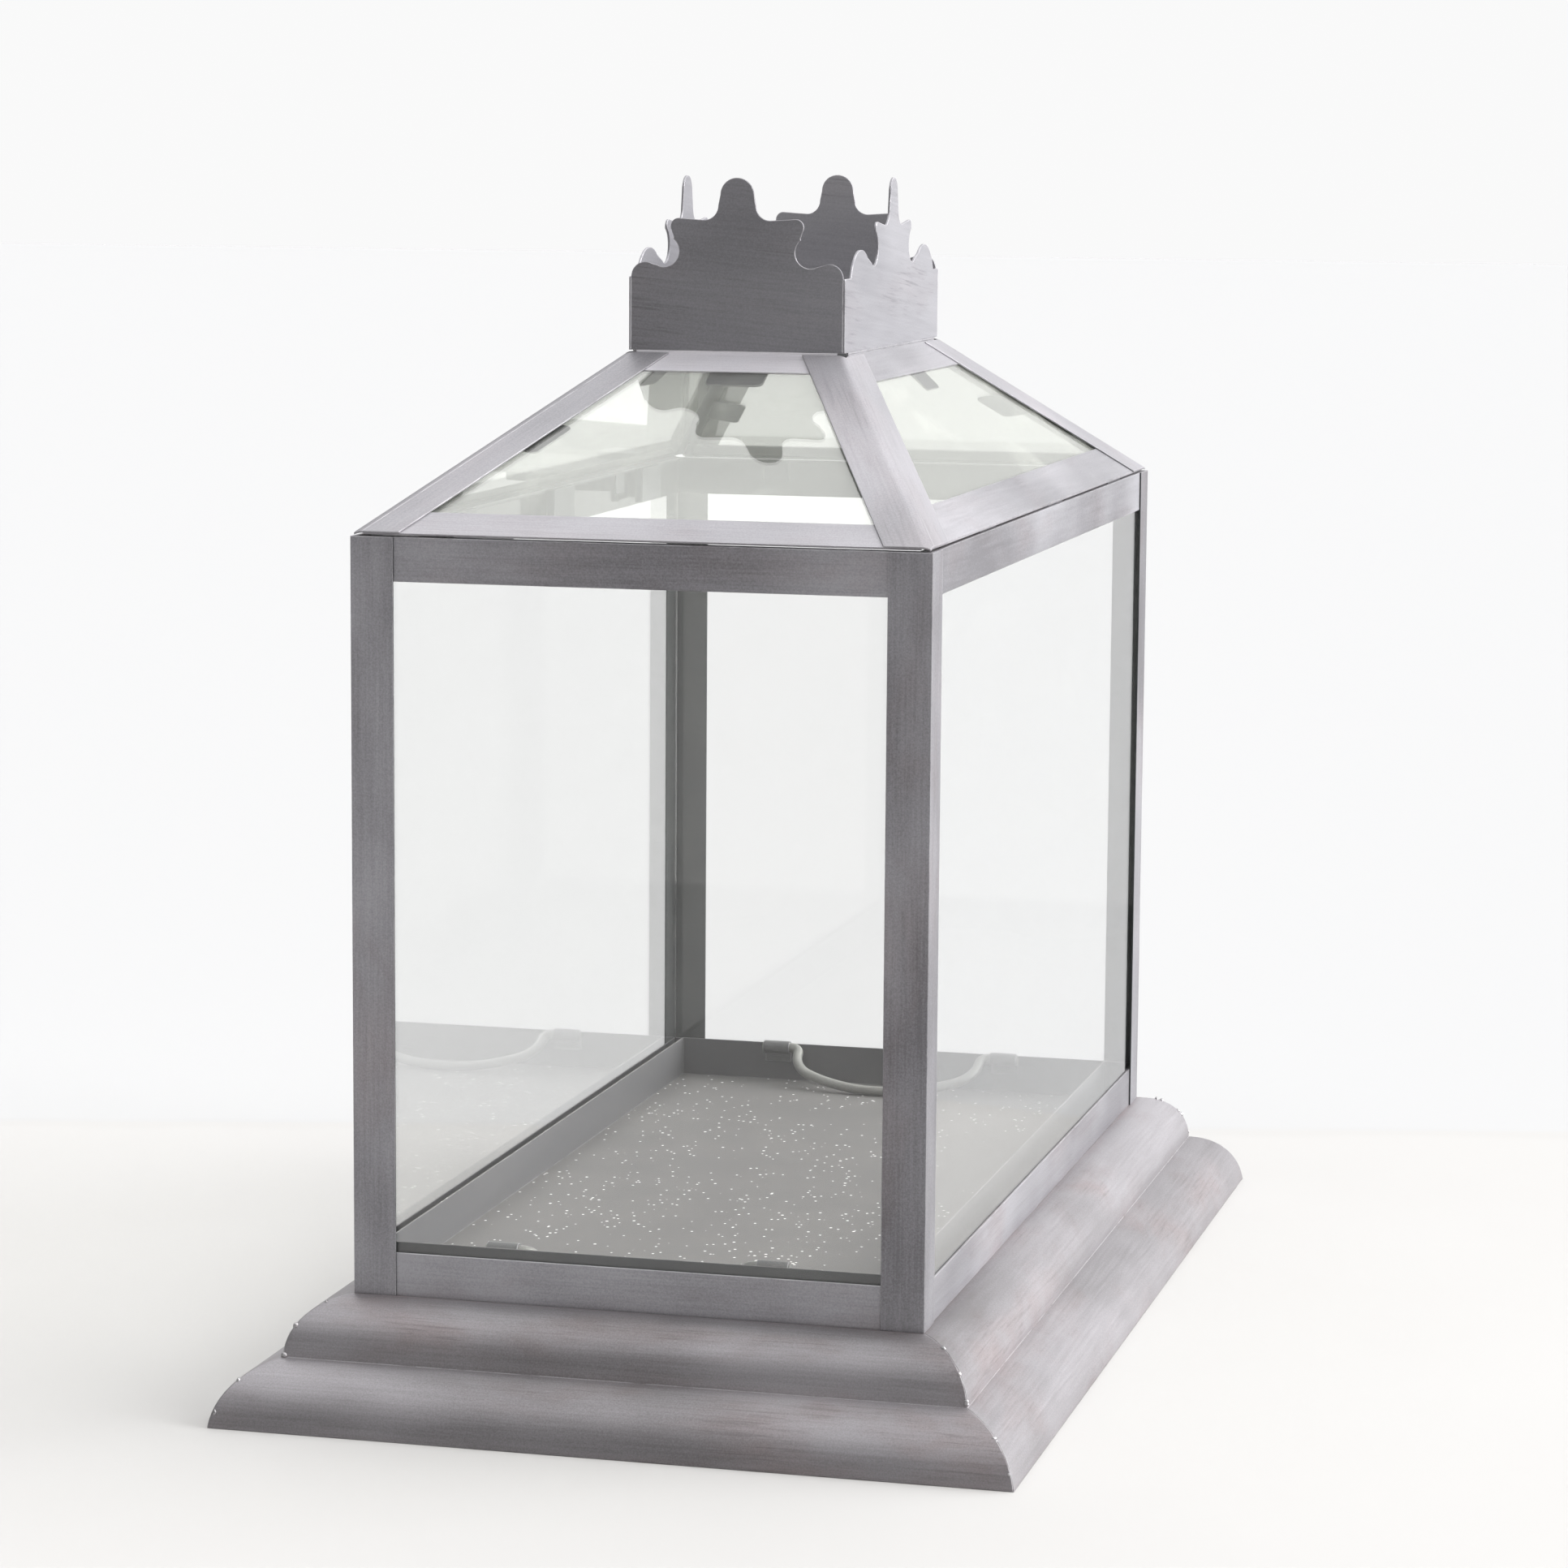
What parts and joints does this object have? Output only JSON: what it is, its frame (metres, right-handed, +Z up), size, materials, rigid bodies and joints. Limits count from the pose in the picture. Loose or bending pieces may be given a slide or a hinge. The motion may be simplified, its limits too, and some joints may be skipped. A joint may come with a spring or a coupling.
{
  "type": "glass cloche",
  "caption": "Lantern-shaped glazed garden cloche: moulded sheet-metal base, long glass box, lift-off hipped glass lid with a cut-out crest, and a loose tray with bail handles.",
  "frame": {"origin": "middle of the base's footprint, on the surface it stands on", "axes": "+X to the right across the narrow front, +Y from the front to the back along the length, +Z up"},
  "size_m": [0.556, 0.956, 0.838],
  "materials": {
    "base_zinc": "brushed grey zinc patina with brown bloom in the creases",
    "frame_zinc": "brushed grey zinc patina",
    "lid_zinc": "brushed grey zinc patina",
    "crest_zinc": "brushed dark zinc patina with long streaks",
    "tray_zinc": "dull dark zinc, dusty",
    "rod": "dull grey rod",
    "clip": "dark dull sheet",
    "glass": "clear window glass, pale green"
  },
  "bodies": {
    "base": {"skirt_front": "base_zinc", "skirt_right": "base_zinc", "skirt_back": "base_zinc", "skirt_left": "base_zinc", "base_plate": "tray_zinc", "post_front_right": "frame_zinc", "post_back_right": "frame_zinc", "post_back_left": "frame_zinc", "post_front_left": "frame_zinc", "bottom_rail_front": "frame_zinc", "bottom_rail_right": "frame_zinc", "bottom_rail_back": "frame_zinc", "bottom_rail_left": "frame_zinc", "top_rail_front": "frame_zinc", "top_rail_right": "frame_zinc", "top_rail_back": "frame_zinc", "top_rail_left": "frame_zinc", "wall_glass_front": "glass", "wall_glass_right": "glass", "wall_glass_back": "glass", "wall_glass_left": "glass", "wall_clips": "clip"},
    "lid": {"eave_rail_front": "lid_zinc", "eave_rail_right": "lid_zinc", "eave_rail_back": "lid_zinc", "eave_rail_left": "lid_zinc", "ring_rail_front": "lid_zinc", "ring_rail_right": "lid_zinc", "ring_rail_back": "lid_zinc", "ring_rail_left": "lid_zinc", "hip_strap_front_right": "lid_zinc", "hip_strap_back_right": "lid_zinc", "hip_strap_back_left": "lid_zinc", "hip_strap_front_left": "lid_zinc", "roof_glass_front": "glass", "roof_glass_right": "glass", "roof_glass_back": "glass", "roof_glass_left": "glass", "roof_clips": "clip", "locating_lugs": "clip", "cap_plate": "crest_zinc", "crest_front": "crest_zinc", "crest_right": "crest_zinc", "crest_back": "crest_zinc", "crest_left": "crest_zinc"},
    "tray": {"tray_pan": "tray_zinc", "sleeves_front": "tray_zinc", "sleeves_back": "tray_zinc"},
    "bail_front": {"handle_front": "rod"},
    "bail_back": {"handle_back": "rod"}
  },
  "joints": [
    {"name": "lid_lift", "type": "slide", "parent": "base", "child": "lid", "axis": [0, 0, 1], "range_m": [0, 0.25]},
    {"name": "tray_lift", "type": "slide", "parent": "base", "child": "tray", "axis": [0, 0, 1], "range_m": [0, 0.3]},
    {"name": "bail_front_swing", "type": "hinge", "parent": "tray", "child": "bail_front", "pos_m": [-0.007, -0.36855, 0.1098], "axis": [1, 0, 0], "range_deg": [0, 118]},
    {"name": "bail_back_swing", "type": "hinge", "parent": "tray", "child": "bail_back", "pos_m": [-0.007, 0.38155, 0.1098], "axis": [-1, 0, 0], "range_deg": [0, 118]}
  ]
}
